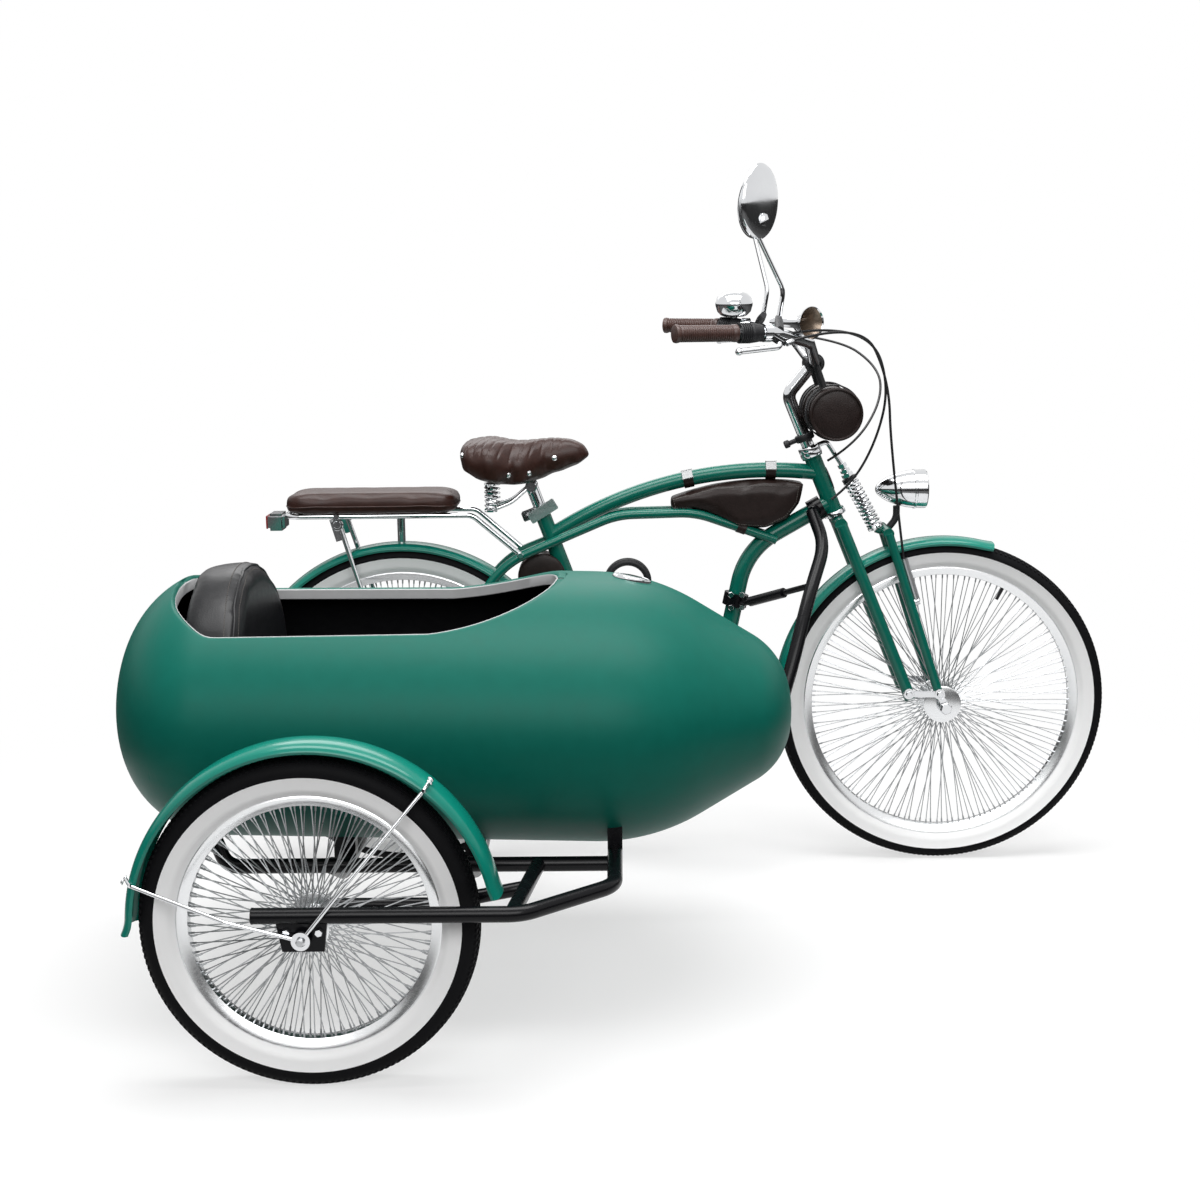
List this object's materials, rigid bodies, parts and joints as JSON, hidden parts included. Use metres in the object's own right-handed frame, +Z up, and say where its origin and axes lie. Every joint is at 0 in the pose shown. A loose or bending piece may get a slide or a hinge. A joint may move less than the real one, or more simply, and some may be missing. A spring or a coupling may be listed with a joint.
{
  "type": "sidecar bicycle",
  "caption": "Cruiser bicycle with a spring fork, rack, bags and mirrors, joined on its right to an egg-shaped one-seat sidecar on a third wire wheel.",
  "frame": {"origin": "middle of the whole outline on the ground", "axes": "+X forward, +Y to the rider's left, +Z up"},
  "size_m": [1.834, 1.4898, 1.4217],
  "materials": {
    "paint_green": "gloss green paint",
    "body_green": "satin green paint on a moulded shell",
    "paint_black": "gloss black paint",
    "chrome": "bright chrome plate",
    "steel": "plain steel",
    "alloy": "polished rim, spokes and hub",
    "tyre": "black rubber with a white side band",
    "rubber": "dark brown ribbed grip rubber",
    "plastic_black": "matt black",
    "leather_brown": "brown leather",
    "leather_dark": "dark brown leather",
    "leather_black": "black leather",
    "trim_grey": "grey edging"
  },
  "bodies": {
    "frame": {"head_tube": "paint_green", "top_tube": "paint_green", "down_tube": "paint_green", "seat_tube": "paint_green", "twin_tubes": "paint_green", "chain_stays": "paint_green", "seat_post": "chrome", "saddle": "leather_brown", "rear_fender": "paint_green", "rack_frame": "chrome", "rack_pad": "leather_brown", "tail_lamp": "chrome", "rear_axle": "steel", "frame_bag": "leather_brown", "frame_bag_straps": "steel", "tool_bag": "leather_dark", "cable_lock": "plastic_black", "chain": "steel", "sidecar_shell": "body_green", "cockpit_trim": "trim_grey", "sidecar_seat": "leather_black", "sidecar_seat_back": "leather_black", "hood_cap": "chrome", "outer_arm": "paint_black", "cross_tubes": "paint_black", "outer_rail": "paint_black", "inner_arm": "paint_black", "strut_clamps": "paint_black", "front_strut": "paint_black", "sidecar_axle": "steel", "sidecar_fender": "paint_green", "fender_stays": "chrome"},
    "steering": {"fork_rear": "paint_green", "fork_front": "paint_green", "fork_rockers": "chrome", "fork_spring": "chrome", "front_fender": "paint_green", "front_brake": "plastic_black", "headlamp": "chrome", "handlebar": "chrome", "stem": "chrome", "grips": "rubber", "brake_levers": "chrome", "bell": "chrome", "horn": "chrome", "mirrors": "chrome", "roll_bag": "leather_dark", "roll_bag_straps": "plastic_black", "brake_cables": "plastic_black"},
    "wheel_front": {"front_tyre": "tyre", "front_wheel": "alloy"},
    "wheel_rear": {"rear_tyre": "tyre", "rear_wheel": "alloy"},
    "wheel_side": {"sidecar_tyre": "tyre", "sidecar_wheel": "alloy"},
    "crank": {"crankset": "chrome"},
    "right_pedal": {"pedal_right": "plastic_black"},
    "left_pedal": {"pedal_left": "plastic_black"}
  },
  "joints": [
    {"name": "steer", "type": "hinge", "parent": "frame", "child": "steering", "pos_m": [0.362, 0.3931, 0.725], "axis": [-0.3746, 0, 0.9272], "range_deg": [-35, 35]},
    {"name": "front_roll", "type": "hinge", "parent": "steering", "child": "wheel_front", "pos_m": [0.582, 0.3931, 0.335], "axis": [0, 1, 0], "continuous": true},
    {"name": "rear_roll", "type": "hinge", "parent": "frame", "child": "wheel_rear", "pos_m": [-0.524, 0.3931, 0.335], "axis": [0, 1, 0], "continuous": true},
    {"name": "side_roll", "type": "hinge", "parent": "frame", "child": "wheel_side", "pos_m": [-0.546, -0.6529, 0.257], "axis": [0, 1, 0], "continuous": true},
    {"name": "crank_turn", "type": "hinge", "parent": "frame", "child": "crank", "pos_m": [-0.071, 0.3931, 0.29], "axis": [0, 1, 0], "continuous": true},
    {"name": "right_pedal_turn", "type": "hinge", "parent": "crank", "child": "right_pedal", "pos_m": [0.094, 0.2731, 0.29], "axis": [0, 1, 0], "continuous": true},
    {"name": "left_pedal_turn", "type": "hinge", "parent": "crank", "child": "left_pedal", "pos_m": [-0.236, 0.5131, 0.29], "axis": [0, 1, 0], "continuous": true}
  ]
}
